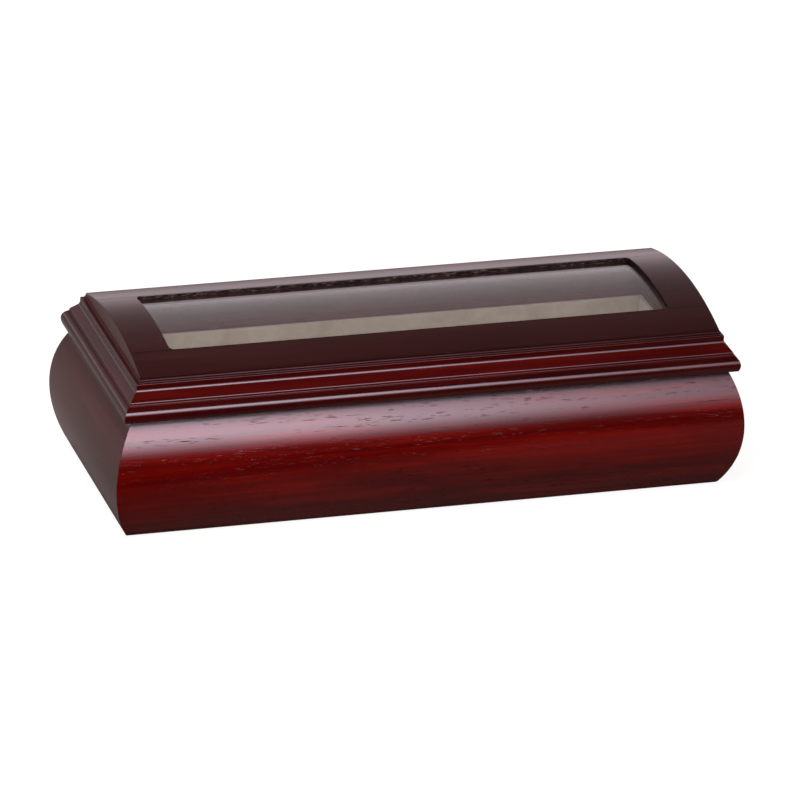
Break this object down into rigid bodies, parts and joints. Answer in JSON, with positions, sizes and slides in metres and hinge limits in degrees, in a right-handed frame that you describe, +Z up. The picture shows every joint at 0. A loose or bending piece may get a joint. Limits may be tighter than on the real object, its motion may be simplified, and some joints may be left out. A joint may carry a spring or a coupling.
{
  "type": "watch display box",
  "caption": "Long bombe wooden case with a hinged arched lid, a clear window and lined compartments with lift-out strap pillows.",
  "frame": {"origin": "centre of the underside, on the surface the box stands on", "axes": "+X along the box towards its right end, +Y from the front to the hinged back, +Z up"},
  "size_m": [0.3048, 0.1162, 0.0861],
  "materials": {
    "body_wood": "mahogany stain under satin-gloss lacquer",
    "lid_wood": "dark mahogany stain under satin-gloss lacquer",
    "strip_wood": "dark stain, matt",
    "bottom_ply": "bare plywood",
    "felt": "felt",
    "lining_suede": "short-napped suede cloth",
    "pillow_suede": "short-napped suede cloth over padding",
    "pane_glass": "clear, polished",
    "hinge_brass": "brushed",
    "pin_brass": "polished"
  },
  "bodies": {
    "case": {"front_board": "body_wood", "back_board": "body_wood", "left_board": "body_wood", "right_board": "body_wood", "bottom_board": "bottom_ply", "underside_felt": "felt", "front_lining": "lining_suede", "back_lining": "lining_suede", "left_lining": "lining_suede", "right_lining": "lining_suede", "floor_lining": "lining_suede", "divider_1": "lining_suede", "divider_2": "lining_suede", "divider_3": "lining_suede", "divider_4": "lining_suede", "left_hinge_body_leaf": "hinge_brass", "left_hinge_pin": "pin_brass", "right_hinge_body_leaf": "hinge_brass", "right_hinge_pin": "pin_brass", "left_hinge_body_screws": "pin_brass", "right_hinge_body_screws": "pin_brass"},
    "lid": {"lid_front_rail": "lid_wood", "lid_back_rail": "lid_wood", "lid_left_rail": "lid_wood", "lid_right_rail": "lid_wood", "lid_arch_panel": "lid_wood", "lid_left_end": "lid_wood", "lid_right_end": "lid_wood", "window_pane": "pane_glass", "glazing_strip_front": "strip_wood", "glazing_strip_back": "strip_wood", "glazing_strip_left": "strip_wood", "glazing_strip_right": "strip_wood", "left_hinge_lid_leaf": "hinge_brass", "right_hinge_lid_leaf": "hinge_brass", "left_hinge_lid_screws": "pin_brass", "right_hinge_lid_screws": "pin_brass"},
    "pillow_1": {"pillow_1": "pillow_suede"},
    "pillow_2": {"pillow_2": "pillow_suede"},
    "pillow_3": {"pillow_3": "pillow_suede"},
    "pillow_4": {"pillow_4": "pillow_suede"},
    "pillow_5": {"pillow_5": "pillow_suede"}
  },
  "joints": [
    {"name": "lid_hinge", "type": "hinge", "parent": "case", "child": "lid", "pos_m": [0, 0.0543, 0.0602], "axis": [-1, 0, 0], "range_deg": [0, 95]},
    {"name": "pillow_1_lift", "type": "slide", "parent": "case", "child": "pillow_1", "axis": [0, 0, 1], "range_m": [0, 0.015]},
    {"name": "pillow_2_lift", "type": "slide", "parent": "case", "child": "pillow_2", "axis": [0, 0, 1], "range_m": [0, 0.015]},
    {"name": "pillow_3_lift", "type": "slide", "parent": "case", "child": "pillow_3", "axis": [0, 0, 1], "range_m": [0, 0.015]},
    {"name": "pillow_4_lift", "type": "slide", "parent": "case", "child": "pillow_4", "axis": [0, 0, 1], "range_m": [0, 0.015]},
    {"name": "pillow_5_lift", "type": "slide", "parent": "case", "child": "pillow_5", "axis": [0, 0, 1], "range_m": [0, 0.015]}
  ]
}
